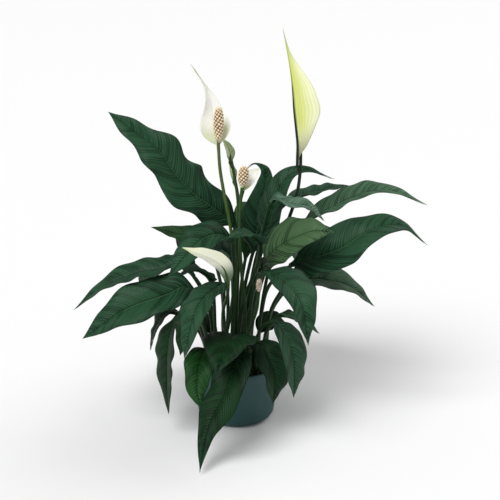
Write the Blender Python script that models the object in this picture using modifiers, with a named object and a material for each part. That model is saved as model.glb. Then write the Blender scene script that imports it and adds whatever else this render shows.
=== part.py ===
"""Potted peace lily: a planter with a nursery pot, soil, leaves and flowers.

Metres, +Z up.  The origin is the middle of the planter's flat base, on the surface it stands on, and -Y is
the side that faces the viewer.  Every leaf is one closed loft (petiole and blade grown together); every
flower has a stalk, a spathe and, where it is open, a spadix.
"""
import math
from dataclasses import dataclass

import bmesh
import bpy
from mathutils import Vector

# ---------------------------------------------------------------- driving dimensions (metres, degrees)
POT_HEIGHT = 0.085          # planter, base to rim
RIM_RADIUS = 0.064          # planter, outside of the rim
BELLY_RADIUS = RIM_RADIUS - 0.0065   # planter, outside, just above the rounded bottom edge
POT_WALL = 0.0032           # planter wall
POT_FLOOR = 0.0040          # planter floor
CORNER_RADIUS = 0.014       # rounding of the bottom edge, outside
LIP_HEIGHT = 0.0045         # plain band at the rim
LIP_STEP = 0.0008           # how far the band stands proud
LIP_EASE = 0.0008           # bevel on the rim's two edges
FIT_GAP = 0.0003            # between pieces that rest on each other
NURSERY_GAP = 0.0012        # play between nursery pot and planter at the lip
NURSERY_WALL = 0.0012
NURSERY_RIM_BELOW = 0.0030  # nursery rim, below the planter's rim
HEADSPACE = 0.0120          # soil surface in the middle, below the planter's rim
SOIL_FALL = 0.0025          # how much lower the soil lies at the nursery pot's wall

CROWN_RINGS = tuple(RIM_RADIUS * share for share in (0.14, 0.33, 0.515, 0.695))   # feet of the stems
PETIOLE_RADIUS = 0.0026
PETIOLE_FLARE = 1.25        # petiole's foot, as a multiple of its radius
BLADE_THICKNESS = 0.0013
RIB_DEPTH = 0.0016          # midrib below the blade at its base
TOP_CREST = 0.58            # where the upper side's crest runs, from midrib to edge
UNDER_CREST = 0.42          # where the under side's fold line runs
BLADE_THINNING = 0.5        # how much of its thickness a leaf loses by its tip
BLADE_START = 0.12          # share of a blade over which the round petiole turns flat
STALK_RADIUS = 0.0026
STEM_CLEARANCE = PETIOLE_RADIUS + STALK_RADIUS   # between the middles of a petiole and a stalk that touch
STALK_FOOT = 1.18           # stalk's radius at its foot, as a multiple of STALK_RADIUS
STALK_TAPER = 0.30          # how much of that multiple it loses by its top
SPADIX_RADIUS = 0.0078
SPADIX_BLUNTNESS = 0.8      # under 1 for rounder ends than a ball's
SPATHE_THICKNESS = 0.0012
SPATHE_THINNING = 0.4
SPATHE_BULGE = -0.075       # each half of a spathe is hollow, seen from its inside
SPATHE_DROP = 0.004         # how far under the spadix most spathes begin

PETIOLE_STEP = 0.042        # between stations along a petiole
BLADE_STATIONS = (0.0, 0.05, 0.13, 0.24, 0.37, 0.51, 0.65, 0.78, 0.89, 0.96)
SPATHE_STATIONS = (0.0, 0.06, 0.16, 0.28, 0.42, 0.56, 0.70, 0.82, 0.92)
SECTION_SHARES = (1.0, TOP_CREST, 0.0, -TOP_CREST, -1.0, -UNDER_CREST, 0.0, UNDER_CREST)
SECTION_SIDES = (0, 1, 1, 1, 0, -1, -1, -1)   # 1 on the upper side, -1 below, 0 on an edge
KEEL = 6                    # the section's point under the midrib
STALK_STEP = 0.034
POT_SEGMENTS = 40
RISE = 0.020                # first straight stretch of every stem above the soil


def above(x, y, z):
    """Return the point at x, y from the planter's axis and z above the plane of its rim."""
    return Vector((x, y, POT_HEIGHT + z))


def beside(angle, gap, z):
    """Return a point that hangs past the rim.

    angle is counted from +X in degrees, gap outwards from the rim's outside, z above the table.
    """
    reach = RIM_RADIUS + gap
    return Vector((reach * math.cos(math.radians(angle)), reach * math.sin(math.radians(angle)), z))


def nursery_sizes():
    """Return the nursery pot's base and lip radius outside, and the heights of its base and lip."""
    base = BELLY_RADIUS - CORNER_RADIUS
    lip = RIM_RADIUS - POT_WALL - NURSERY_GAP
    return base, lip, POT_FLOOR + FIT_GAP, POT_HEIGHT - NURSERY_RIM_BELOW


def nursery_inside(height):
    """Return the radius inside the nursery pot at a height."""
    base, lip, low, high = nursery_sizes()
    share = (height - low - NURSERY_WALL) / (high - low - NURSERY_WALL)
    return base + (lip - base) * share - NURSERY_WALL


def crown(angle, ring):
    """Return where a stem stands on the soil, given its angle in degrees and its ring."""
    radius = CROWN_RINGS[ring]
    return Vector((radius * math.cos(math.radians(angle)), radius * math.sin(math.radians(angle)),
                   POT_HEIGHT - HEADSPACE + FIT_GAP))


# ---------------------------------------------------------------- materials
def material(name, colour, roughness, metallic=0.0):
    """Return a plain Principled material."""
    made = bpy.data.materials.new(name)
    made.use_nodes = True
    shader = made.node_tree.nodes["Principled BSDF"]
    shader.inputs["Base Color"].default_value = (*colour, 1.0)
    shader.inputs["Roughness"].default_value = roughness
    shader.inputs["Metallic"].default_value = metallic
    return made


def make_materials():
    """Return the materials by name."""
    return {
        "teal": material("planter_teal", (0.018, 0.062, 0.072), 0.55),
        "black": material("nursery_black", (0.008, 0.008, 0.010), 0.5),
        "soil": material("potting_soil", (0.030, 0.018, 0.010), 0.95),
        "leaf": material("leaf_green", (0.020, 0.095, 0.045), 0.35),
        "stalk": material("stalk_green", (0.110, 0.170, 0.055), 0.45),
        "white": material("spathe_white", (0.880, 0.890, 0.800), 0.45),
        "green": material("spathe_green", (0.620, 0.700, 0.200), 0.45),
        "pale": material("spathe_pale_green", (0.480, 0.520, 0.330), 0.45),
        "spadix": material("spadix_cream", (0.780, 0.620, 0.380), 0.6),
        "faded": material("spadix_faded", (0.520, 0.430, 0.300), 0.7),
    }


# ---------------------------------------------------------------- curves
def smooth(points, steps=16):
    """Return points on a Catmull-Rom curve through the given ones, steps to a stretch."""
    ends = [points[0] * 2 - points[1]] + list(points) + [points[-1] * 2 - points[-2]]
    out = []
    for i in range(1, len(ends) - 2):
        before, start, stop, after = ends[i - 1:i + 3]
        for k in range(steps):
            t = k / steps
            out.append(0.5 * ((2 * start) + (stop - before) * t
                              + (2 * before - 5 * start + 4 * stop - after) * t * t
                              + (3 * start - before - 3 * stop + after) * t ** 3))
    out.append(points[-1].copy())
    return out


class Path:
    """A smooth line that can be read by its length."""

    def __init__(self, guides):
        self.points = smooth(guides)
        self.marks = [0.0]
        for a, b in zip(self.points, self.points[1:]):
            self.marks.append(self.marks[-1] + (b - a).length)
        self.length = self.marks[-1]

    def at(self, distance):
        """Return the point and the direction at a distance from the start."""
        distance = min(max(distance, 0.0), self.length)
        i = 1
        while i < len(self.marks) - 1 and self.marks[i] < distance:
            i += 1
        a, b = self.points[i - 1], self.points[i]
        share = (distance - self.marks[i - 1]) / max(self.marks[i] - self.marks[i - 1], 1e-9)
        before = self.points[max(i - 2, 0)]
        beyond = self.points[min(i + 1, len(self.points) - 1)]
        return a.lerp(b, share), (beyond - before).normalized()


# ---------------------------------------------------------------- leaves
@dataclass(frozen=True)
class Leaf:
    """One leaf: where it stands, where its midrib passes, and how its blade lies.

    roll turns the blade about its midrib, left edge up for more; twist is the roll gained towards the tip;
    fold lifts both halves; bulge rounds each half upwards.
    """

    name: str
    foot: tuple
    guides: tuple
    blade: float
    width: float
    roll: float = 0.0
    twist: float = 0.0
    fold: float = 14.0
    bulge: float = 0.10
    petiole: float = PETIOLE_RADIUS
    tip_taper: float = 1.12


def blade_outline(u, rise=0.78, fall=1.12):
    """Return the half width of a blade at u from its base to its tip, as a share of the widest.

    rise is how slowly it widens from its base, and fall how long its tip is drawn out.
    """
    widest = rise / (rise + fall)
    return (u ** rise * (1 - u) ** fall) / (widest ** rise * (1 - widest) ** fall)


def section(centre, side, up, half, thick, rib, fold, bulge, blend, radius):
    """Return the eight points of one section, from the left edge over the top and back below.

    blend is 0 on the round petiole and 1 on the flat blade.
    """
    points = []
    lean = math.radians(fold)
    for k, share in enumerate(SECTION_SHARES):
        turn = math.tau * k / len(SECTION_SHARES)
        stem = side * (radius * math.cos(turn)) + up * (radius * math.sin(turn))
        lift = abs(share) * half * math.sin(lean) + bulge * half * 4 * abs(share) * (1 - abs(share))
        lift += SECTION_SIDES[k] * thick / 2
        if k == KEEL:
            lift -= rib
        flat = side * (share * half * math.cos(lean)) + up * lift
        points.append(centre + stem.lerp(flat, blend))
    return points


def loft(name, rings, tip, finish):
    """Make a closed body from rings of eight points and a last point at the tip.

    The lower side's diagonals run under those of the upper side, so that the two sides never cross where
    the blade is thin.
    """
    mesh = bpy.data.meshes.new(name)
    bm = bmesh.new()
    rows = [[bm.verts.new(p) for p in ring] for ring in rings]
    count = len(rows[0])
    for low, high in zip(rows, rows[1:]):
        for i in range(count):
            j = (i + 1) % count
            if i < count // 2:
                triangles = (low[i], low[j], high[j]), (low[i], high[j], high[i])
            else:
                triangles = (low[i], low[j], high[i]), (low[j], high[j], high[i])
            for triangle in triangles:
                bm.faces.new(triangle)
    end = bm.verts.new(tip)
    for i in range(count):
        bm.faces.new((rows[-1][i], rows[-1][(i + 1) % count], end))
    bm.faces.new(list(reversed(rows[0])))
    bmesh.ops.recalc_face_normals(bm, faces=bm.faces)
    bm.to_mesh(mesh)
    bm.free()
    return keep(name, mesh, finish)


def keep(name, data, finish):
    """Link an object made from data, with its material, to the plant's collection."""
    made = bpy.data.objects.new(name, data)
    data.materials.append(finish)
    bpy.data.collections["potted_peace_lily"].objects.link(made)
    if isinstance(data, bpy.types.Mesh):
        data.shade_smooth()
        data.set_sharp_from_angle(angle=math.radians(40))
    return made


def frame_at(path, distance, left, roll):
    """Return the point, the left direction and the up direction of a blade at a distance along its path."""
    centre, along = path.at(distance)
    side = (left - along * left.dot(along)).normalized()
    up = along.cross(side)
    turn = math.radians(roll)
    return centre, side * math.cos(turn) + up * math.sin(turn), up * math.cos(turn) - side * math.sin(turn)


def make_leaf(leaf, finish):
    """Build one leaf, from its foot on the soil to its tip."""
    foot = crown(*leaf.foot)
    path = Path([foot, foot + Vector((0, 0, RISE)), *leaf.guides])
    neck = path.length - leaf.blade
    start, _ = path.at(neck)
    heading = leaf.guides[-1] - start
    left = Vector((-heading.y, heading.x, 0.0)).normalized()
    rings = []
    count = max(3, round(neck / PETIOLE_STEP))
    for k in range(count):
        share = k / count
        centre, side, up = frame_at(path, neck * share, left, leaf.roll)
        if k == 0:
            side, up = left, Vector((0, 0, 1)).cross(left)
        radius = leaf.petiole * (PETIOLE_FLARE + (1 - PETIOLE_FLARE) * min(1.0, share * 3))
        rings.append(section(centre, side, up, 0, 0, 0, 0, 0, 0.0, radius))
    for u in BLADE_STATIONS:
        centre, side, up = frame_at(path, neck + leaf.blade * u, left, leaf.roll + leaf.twist * u)
        half = leaf.width / 2 * blade_outline(u, fall=leaf.tip_taper)
        rib = RIB_DEPTH * (1 - u)
        thick = BLADE_THICKNESS * (1 - BLADE_THINNING * u)
        rings.append(section(centre, side, up, half, thick, rib, leaf.fold, leaf.bulge,
                             min(1.0, u / BLADE_START), leaf.petiole * (1 - u)))
    return loft(leaf.name, rings, leaf.guides[-1], finish)


LEAVES = (
    # left side
    Leaf("leaf_upper_left", (-160, 1),
         (above(-0.004, -0.004, 0.100), above(0.002, -0.010, 0.190), above(-0.003, -0.012, 0.214),
          above(-0.040, -0.028, 0.248), above(-0.072, -0.038, 0.278), above(-0.102, -0.040, 0.322),
          above(-0.134, -0.032, 0.346), above(-0.172, -0.020, 0.373)),
         0.255, 0.062, roll=-66, fold=8, tip_taper=1.0),
    Leaf("leaf_left_small", (140, 1),
         (above(-0.012, 0.022, 0.100), above(-0.030, 0.032, 0.150), above(-0.060, 0.038, 0.178),
          above(-0.092, 0.040, 0.185), above(-0.125, 0.040, 0.195)),
         0.105, 0.042, roll=-20),
    Leaf("leaf_left_front", (-105, 1),
         (above(-0.004, -0.034, 0.080), above(-0.002, -0.044, 0.140), above(-0.001, -0.056, 0.194),
          above(-0.013, -0.074, 0.213), above(-0.032, -0.090, 0.218), above(-0.052, -0.100, 0.207),
          above(-0.088, -0.108, 0.165)),
         0.128, 0.048, roll=-30),
    Leaf("leaf_left_long", (180, 2),
         (above(-0.040, -0.008, 0.090), above(-0.072, -0.020, 0.155), above(-0.103, -0.022, 0.150),
          above(-0.136, -0.022, 0.144), above(-0.162, -0.022, 0.135), above(-0.192, -0.022, 0.120),
          above(-0.234, -0.020, 0.087)),
         0.190, 0.054, roll=-14, fold=16, tip_taper=1.25),
    Leaf("leaf_left_low", (-175, 3),
         (above(-0.048, -0.022, 0.080), above(-0.066, -0.040, 0.128), above(-0.098, -0.052, 0.120),
          above(-0.133, -0.058, 0.110), above(-0.161, -0.062, 0.098), above(-0.216, -0.060, 0.058)),
         0.190, 0.066, roll=-40),
    Leaf("leaf_left_hanging", (-156, 3),
         (above(-0.056, -0.045, 0.090), above(-0.079, -0.068, 0.098), above(-0.092, -0.080, 0.064),
          beside(-139.6, 0.061, 0.097), beside(-139.9, 0.060, 0.036)),
         0.150, 0.046),
    Leaf("leaf_left_hidden", (165, 3),
         (above(-0.062, -0.004, 0.060), above(-0.094, -0.026, 0.087), above(-0.115, -0.030, 0.060),
          above(-0.124, -0.030, 0.028)),
         0.090, 0.032),
    Leaf("leaf_front_left", (-135, 1),
         (above(-0.018, -0.040, 0.080), above(-0.014, -0.076, 0.142), above(-0.026, -0.106, 0.148),
          above(-0.041, -0.130, 0.141), above(-0.052, -0.142, 0.123), above(-0.060, -0.146, 0.093),
          above(-0.066, -0.146, 0.064)),
         0.145, 0.046),
    Leaf("leaf_front_left_hidden", (-137, 3),
         (above(-0.045, -0.060, 0.080), above(-0.055, -0.088, 0.110), above(-0.065, -0.106, 0.090),
          above(-0.074, -0.114, 0.055)),
         0.090, 0.040),
    # front
    Leaf("leaf_front_arch", (-90, 2),
         (above(0.006, -0.060, 0.055), above(0.000, -0.095, 0.076), above(-0.010, -0.135, 0.080),
          above(-0.017, -0.163, 0.071), above(-0.022, -0.181, 0.057)),
         0.120, 0.070, fold=4, bulge=0.10),
    Leaf("leaf_front_long", (-100, 3),
         (above(0.004, -0.060, 0.030), above(0.010, -0.082, 0.050), above(0.003, -0.107, 0.056),
          above(-0.002, -0.135, 0.045), above(-0.008, -0.150, 0.020), beside(-96.5, 0.094, 0.088),
          beside(-101.0, 0.101, 0.064), beside(-103.3, 0.108, 0.038), beside(-103.5, 0.131, 0.005)),
         0.205, 0.054, fold=10, tip_taper=1.3),
    Leaf("leaf_front_low", (-118, 3),
         (above(-0.033, -0.065, 0.038), above(-0.042, -0.100, 0.056), above(-0.048, -0.126, 0.038),
          beside(-110.0, 0.083, 0.095), beside(-106.0, 0.086, 0.074)),
         0.110, 0.042),
    Leaf("leaf_front_right", (-50, 3),
         (above(0.038, -0.054, 0.078), above(0.056, -0.080, 0.092), above(0.073, -0.101, 0.072),
          above(0.081, -0.108, 0.038), beside(-52.6, 0.070, 0.074)),
         0.122, 0.048),
    Leaf("leaf_front_right_dark", (-74, 3),
         (above(0.024, -0.056, 0.044), above(0.037, -0.071, 0.052), above(0.047, -0.085, 0.038),
          above(0.055, -0.092, 0.022), beside(-60.5, 0.048, 0.086), beside(-61.2, 0.046, 0.060)),
         0.112, 0.052),
    # right side
    Leaf("leaf_right_forward", (-58, 2),
         (above(0.022, -0.042, 0.100), above(0.032, -0.066, 0.153), above(0.046, -0.090, 0.165),
          above(0.062, -0.115, 0.167), above(0.078, -0.140, 0.159), above(0.089, -0.160, 0.142),
          above(0.096, -0.175, 0.094)),
         0.158, 0.058, fold=14, tip_taper=1.2),
    Leaf("leaf_right_small", (-28, 3),
         (above(0.045, -0.035, 0.060), above(0.063, -0.048, 0.090), above(0.092, -0.058, 0.085),
          above(0.119, -0.060, 0.066)),
         0.068, 0.030),
    Leaf("leaf_right_low", (-5, 3),
         (above(0.050, 0.000, 0.070), above(0.066, 0.000, 0.115), above(0.099, 0.000, 0.127),
          above(0.138, 0.008, 0.122), above(0.168, 0.014, 0.111), above(0.206, 0.020, 0.078)),
         0.150, 0.054, roll=22),
    Leaf("leaf_right_big", (-12, 2),
         (above(0.038, -0.012, 0.080), above(0.056, -0.022, 0.140), above(0.092, -0.030, 0.163),
          above(0.140, -0.040, 0.180), above(0.160, -0.042, 0.194), above(0.184, -0.042, 0.210),
          above(0.207, -0.038, 0.217), above(0.233, -0.032, 0.216), above(0.272, -0.022, 0.185)),
         0.225, 0.080, roll=42, twist=-30, fold=10, tip_taper=1.6),
    Leaf("leaf_right_striped", (-37, 1),
         (above(0.024, -0.020, 0.080), above(0.036, -0.034, 0.140), above(0.049, -0.046, 0.177),
          above(0.069, -0.060, 0.198), above(0.089, -0.072, 0.212), above(0.108, -0.080, 0.221),
          above(0.134, -0.083, 0.220)),
         0.130, 0.070, roll=45, fold=10),
    Leaf("leaf_right_long", (8, 2),
         (above(0.040, 0.020, 0.090), above(0.060, 0.030, 0.160), above(0.103, 0.034, 0.206),
          above(0.138, 0.040, 0.223), above(0.160, 0.044, 0.234), above(0.190, 0.048, 0.245),
          above(0.230, 0.052, 0.246), above(0.284, 0.058, 0.224)),
         0.205, 0.052, roll=12, fold=16, tip_taper=1.25),
    Leaf("leaf_right_far", (50, 1),
         (above(0.022, 0.028, 0.110), above(0.045, 0.044, 0.195), above(0.076, 0.054, 0.230),
          above(0.095, 0.066, 0.237), above(0.121, 0.078, 0.240), above(0.149, 0.090, 0.244),
          above(0.178, 0.100, 0.243)),
         0.118, 0.034, roll=8),
    Leaf("leaf_right_curled", (-16, 1),
         (above(0.026, -0.010, 0.110), above(0.038, -0.022, 0.200), above(0.052, -0.034, 0.254),
          above(0.069, -0.040, 0.252), above(0.086, -0.042, 0.248), above(0.101, -0.038, 0.246),
          above(0.125, -0.030, 0.222)),
         0.095, 0.030, roll=20),
    # middle
    Leaf("leaf_middle_tall", (0, 0),
         (above(0.012, 0.000, 0.060), above(0.026, -0.003, 0.127), above(0.042, -0.004, 0.190),
          above(0.054, -0.002, 0.230), above(0.065, 0.002, 0.264), above(0.082, 0.004, 0.283),
          above(0.104, 0.004, 0.287), above(0.140, 0.002, 0.275)),
         0.170, 0.050, roll=50, twist=-40, petiole=0.0034, tip_taper=1.7),
    Leaf("leaf_middle_forward", (-80, 1),
         (above(0.008, 2 * STEM_CLEARANCE - 0.0364, 0.090), above(0.025, -0.036, 0.140),
          above(0.036, -0.053, 0.185), above(0.030, -0.084, 0.212), above(0.012, -0.108, 0.224),
          above(-0.010, -0.124, 0.222)),
         0.085, 0.036, roll=-10),
    Leaf("leaf_middle_hooked", (75, 0),
         (above(0.014, 0.024, 0.110), above(0.028, 0.030, 0.172), above(0.033, 0.032, 0.205),
          above(0.038, 0.032, 0.238), above(0.043, 0.032, 0.262), above(0.043, 0.034, 0.280),
          above(0.034, 0.036, 0.291), above(0.022, 0.038, 0.288), above(0.013, 0.038, 0.279)),
         0.165, 0.054, roll=-80, twist=50, fold=8, tip_taper=2.0),
    Leaf("leaf_middle_inner_right", (28, 1),
         (above(0.022, 0.014, 0.080), above(0.032, 0.014, 0.130), above(0.048, 0.010, 0.158),
          above(0.078, 0.004, 0.172)),
         0.060, 0.030, roll=10),
    Leaf("leaf_middle_inner_left", (-150, 2),
         (above(-0.030, -0.030, 0.080), above(-0.031, -0.050, 0.137), above(-0.043, -0.062, 0.157),
          above(-0.058, -0.070, 0.163), above(-0.078, -0.076, 0.156)),
         0.066, 0.034),
    # far side
    Leaf("leaf_back_middle", (95, 3),
         (above(-0.006, 0.070, 0.110), above(-0.010, 0.130, 0.145), above(-0.012, 0.190, 0.125),
          above(-0.014, 0.240, 0.060)),
         0.190, 0.066),
    Leaf("leaf_back_right", (62, 3),
         (above(0.035, 0.065, 0.100), above(0.065, 0.120, 0.140), above(0.095, 0.170, 0.125),
          above(0.120, 0.215, 0.060)),
         0.180, 0.062),
    Leaf("leaf_back_left", (128, 3),
         (above(-0.045, 0.055, 0.085), above(-0.088, 0.100, 0.120), above(-0.128, 0.140, 0.105),
          above(-0.162, 0.175, 0.050)),
         0.170, 0.058),
    Leaf("leaf_back_right_low", (28, 3),
         (above(0.060, 0.035, 0.080), above(0.105, 0.065, 0.115), above(0.145, 0.092, 0.105),
          above(0.176, 0.115, 0.072)),
         0.135, 0.052),
    Leaf("leaf_back_upright", (85, 2),
         (above(0.006, 0.048, 0.080), above(0.012, 0.060, 0.130), above(0.024, 0.084, 0.178),
          above(0.036, 0.125, 0.200), above(0.042, 0.165, 0.188), above(0.046, 0.200, 0.150)),
         0.190, 0.070),
    Leaf("leaf_back_left_upright", (122, 2),
         (above(-0.020, 0.040, 0.080), above(-0.028, 0.058, 0.125), above(-0.048, 0.090, 0.160),
          above(-0.066, 0.124, 0.166), above(-0.080, 0.152, 0.148), above(-0.092, 0.178, 0.112)),
         0.165, 0.062),
    Leaf("leaf_back_right_upright", (60, 2),
         (above(0.035, 0.040, 0.110), above(0.070, 0.070, 0.170), above(0.105, 0.100, 0.182),
          above(0.135, 0.125, 0.165), above(0.155, 0.145, 0.130)),
         0.130, 0.052),
    Leaf("leaf_back_left_low", (155, 3),
         (above(-0.060, 0.030, 0.070), above(-0.100, 0.045, 0.100), above(-0.140, 0.060, 0.090),
          above(-0.175, 0.070, 0.050)),
         0.130, 0.050),
    Leaf("leaf_inner_back_left", (142, 2),
         (above(-0.034, 0.027, 0.025), above(-0.050, 0.039, 0.045), above(-0.068, 0.050, 0.045),
          above(-0.090, 0.058, 0.028)),
         0.072, 0.032, roll=-50),
    Leaf("leaf_inner_back_right", (42, 2),
         (above(0.031, 0.028, 0.025), above(0.044, 0.038, 0.045), above(0.060, 0.047, 0.045),
          above(0.080, 0.054, 0.028)),
         0.066, 0.032, roll=50),
)


# ---------------------------------------------------------------- flowers
@dataclass(frozen=True)
class Flower:
    """One flower: its stalk, the spathe behind its top and the spadix on its end.

    stalk ends where the spadix begins.  lean is the direction of the spadix and spadix its length; a bud has
    none.  hood holds the points that the spathe's midrib passes, beyond its base.  face is the direction
    that the spathe's inside looks, and cup how far its edges close, in degrees.  drop is how far under the
    spadix the spathe begins.
    """

    name: str
    foot: tuple
    stalk: tuple
    lean: tuple
    spadix: float
    hood: tuple
    face: tuple
    width: float
    cup: float
    spathe: str
    cone: str = "spadix"
    girth: float = SPADIX_RADIUS
    rise: float = 0.78
    fall: float = 1.12
    drop: float = SPATHE_DROP


def make_stalk(flower, finish):
    """Build a flower's stalk as a bevelled curve and return its top."""
    foot = crown(*flower.foot)
    path = Path([foot, foot + Vector((0, 0, RISE)), *flower.stalk])
    count = max(6, round(path.length / STALK_STEP))
    points = [foot, foot + Vector((0, 0, RISE / 2))]
    points += [path.at(path.length * (k + 1) / count)[0] for k in range(count)]
    curve = bpy.data.curves.new(flower.name + "_stalk", "CURVE")
    curve.dimensions = "3D"
    curve.bevel_depth = STALK_RADIUS
    curve.bevel_resolution = 2
    curve.use_fill_caps = True
    line = curve.splines.new("POLY")
    line.points.add(len(points) - 1)
    for k, point in enumerate(points):
        line.points[k].co = (*point, 1.0)
        line.points[k].radius = STALK_FOOT - STALK_TAPER * k / count
    keep(curve.name, curve, finish)
    return path.at(path.length)[0]


def make_spadix(flower, top, axis, finish):
    """Build a spadix: a long round body that stands on the stalk's end."""
    mesh = bpy.data.meshes.new(flower.name + "_spadix")
    bm = bmesh.new()
    bmesh.ops.create_uvsphere(bm, u_segments=10, v_segments=8, radius=1.0)
    turn = Vector((0, 0, 1)).rotation_difference(axis)
    centre = top + axis * (FIT_GAP + STALK_RADIUS + flower.spadix / 2)
    for v in bm.verts:
        blunt = math.copysign(abs(v.co.z) ** SPADIX_BLUNTNESS, v.co.z)
        local = Vector((v.co.x * flower.girth, v.co.y * flower.girth, blunt * flower.spadix / 2))
        v.co = centre + turn @ local
    bmesh.ops.recalc_face_normals(bm, faces=bm.faces)
    bm.to_mesh(mesh)
    bm.free()
    return keep(mesh.name, mesh, finish)


def make_spathe(flower, top, finish):
    """Build a spathe: a cupped leaf whose base stands beside the stalk, behind the spadix."""
    face = Vector(flower.face).normalized()
    base = top - face * (STALK_RADIUS + SPATHE_THICKNESS * 1.6 + FIT_GAP) - Vector((0, 0, flower.drop))
    path = Path([base, *flower.hood])
    rings = []
    for u in SPATHE_STATIONS:
        centre, along = path.at(path.length * u)
        up = (face - along * face.dot(along)).normalized()
        side = up.cross(along)
        half = max(flower.width / 2 * blade_outline(u, flower.rise, flower.fall), SPATHE_THICKNESS)
        thick = SPATHE_THICKNESS * (1 - SPATHE_THINNING * u)
        rings.append(section(centre, side, up, half, thick, 0.0, flower.cup, SPATHE_BULGE, 1.0, 0.0))
    return loft(flower.name + "_spathe", rings, path.at(path.length)[0], finish)


FLOWERS = (
    Flower("flower_tall_white", (-140, 0),
           (above(-0.004, -0.018, 0.060), above(-0.001, -0.030, 0.120), above(0.001, -0.036, 0.158),
            above(-0.008, -0.036, 0.226),
            above(-0.019, -0.036, 0.288), above(-0.022, -0.034, 0.333)),
           (0.02, 0.0, 1.0), 0.046,
           (above(-0.027, -0.018, 0.350), above(-0.029, -0.010, 0.366), above(-0.032, -0.012, 0.386),
            above(-0.040, -0.016, 0.407), above(-0.059, -0.020, 0.437)),
           (0.10, -1.0, 0.15), 0.046, 26, "white", rise=0.9, fall=3.3),
    Flower("flower_small_white", (-58, 1),
           (above(0.014, -0.030, 0.080), above(0.008, -0.044, 0.170), above(0.007, -0.050, 0.240),
            above(0.010, -0.052, 0.274)),
           (0.12, 0.0, 1.0), 0.028,
           (above(0.016, -0.040, 0.280), above(0.022, -0.036, 0.288), above(0.034, -0.034, 0.298)),
           (-0.30, -1.0, 0.25), 0.022, 16, "white"),
    Flower("flower_pale_green", (145, 0),
           (above(-0.002, 0.012, 0.100), above(0.004, 0.020, 0.226), above(0.000, 0.020, 0.268),
            above(-0.006, 0.020, 0.301)),
           (-0.1, 0.1, 1.0), 0.018,
           (above(-0.007, 0.010, 0.310), above(-0.010, 0.010, 0.319), above(-0.018, 0.012, 0.332)),
           (0.3, 1.0, 0.1), 0.014, 24, "pale", girth=0.0042),
    Flower("flower_bud", (95, 1),
           (above(0.002, 0.030, 0.100), above(0.006, 0.040, 0.200), above(0.003, 0.041, 0.248),
            above(-0.001, 0.041, 0.268)),
           (-0.3, 0.0, 1.0), 0.0,
           (above(-0.003, 0.035, 0.276), above(-0.005, 0.034, 0.285), above(-0.008, 0.035, 0.297)),
           (0.3, 1.0, 0.1), 0.011, 24, "pale"),
    Flower("flower_left_cream", (-115, 2),
           (above(-0.013, -0.044, 0.050), above(-0.015, -0.052, 0.071), above(-0.017, -0.070, 0.100),
            above(-0.011, -0.102, 0.132), above(-0.006, -0.120, 0.150), above(-0.007, -0.124, 0.168)),
           (-0.55, 0.05, 0.84), 0.028,
           (above(-0.013, -0.136, 0.186), above(-0.031, -0.145, 0.203), above(-0.051, -0.151, 0.213),
            above(-0.065, -0.152, 0.219)),
           (0.10, 0.90, 0.30), 0.026, 26, "white", girth=0.0045),
    Flower("flower_tall_green", (5, 1),
           (above(0.026, -0.002, 0.070), above(0.042, -0.013, 0.142), above(0.063, -0.020, 0.189),
            above(0.083, -0.023, 0.247), above(0.088, -0.023, 0.271), above(0.091, -0.023, 0.303),
            above(0.0905, -0.0205, 0.330)),
           (0.0, 0.05, 1.0), 0.030,
           (above(0.086, -0.031, 0.338), above(0.082, -0.031, 0.360), above(0.080, -0.031, 0.383),
            above(0.077, -0.030, 0.414), above(0.073, -0.028, 0.440), above(0.065, -0.022, 0.483)),
           (0.75, 0.66, 0.0), 0.070, 48, "green", girth=0.0045, rise=2.2, fall=3.0, drop=0.030),
    Flower("flower_faded", (-75, 2),
           (above(0.018, -0.050, 0.060), above(0.030, -0.072, 0.105), above(0.033, -0.080, 0.132)),
           (0.04, 0.0, 1.0), 0.019,
           (), (0, 0, 0), 0.0, 0, "", cone="faded", girth=0.0046),
)


def make_flower(flower, finishes):
    """Build the pieces of one flower."""
    top = make_stalk(flower, finishes["stalk"])
    if flower.spadix:
        make_spadix(flower, top, Vector(flower.lean).normalized(), finishes[flower.cone])
    if flower.hood:
        make_spathe(flower, top, finishes[flower.spathe])


# ---------------------------------------------------------------- pot and soil
def turned(name, profile, finish):
    """Turn a profile of (radius, height) about Z; it runs up the inside and down the outside."""
    mesh = bpy.data.meshes.new(name)
    mesh.from_pydata([(r, 0.0, z) for r, z in profile], [(i, i + 1) for i in range(len(profile) - 1)], [])
    made = keep(name, mesh, finish)
    screw = made.modifiers.new("Turn", "SCREW")
    screw.steps = POT_SEGMENTS
    screw.render_steps = POT_SEGMENTS
    screw.use_merge_vertices = True
    screw.merge_threshold = 0.0001
    return made


def rounded_corner(radius, height, size, steps=4):
    """Return points on a quarter arc about (radius, height), from its lowest point out to its widest."""
    turns = [math.pi / 2 * (k / steps - 1) for k in range(steps + 1)]
    return [(radius + size * math.cos(turn), height + size * math.sin(turn)) for turn in turns]


def make_planter(finish):
    """Build the outer pot: one wall, a flat base with a rounded edge and a plain band at the rim."""
    middle = BELLY_RADIUS - CORNER_RADIUS
    inner_corner = CORNER_RADIUS - POT_WALL
    inner_rim = RIM_RADIUS - POT_WALL
    profile = [(0.0, POT_FLOOR)]
    profile += rounded_corner(middle, POT_FLOOR + inner_corner, inner_corner)
    profile += [(inner_rim, POT_HEIGHT - LIP_EASE), (inner_rim + LIP_EASE, POT_HEIGHT),
                (RIM_RADIUS - LIP_EASE, POT_HEIGHT), (RIM_RADIUS, POT_HEIGHT - LIP_EASE),
                (RIM_RADIUS, POT_HEIGHT - LIP_HEIGHT),
                (RIM_RADIUS - LIP_STEP, POT_HEIGHT - LIP_HEIGHT - LIP_STEP)]
    profile += reversed(rounded_corner(middle, CORNER_RADIUS, CORNER_RADIUS))
    return turned("planter", profile + [(0.0, 0.0)], finish)


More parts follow.
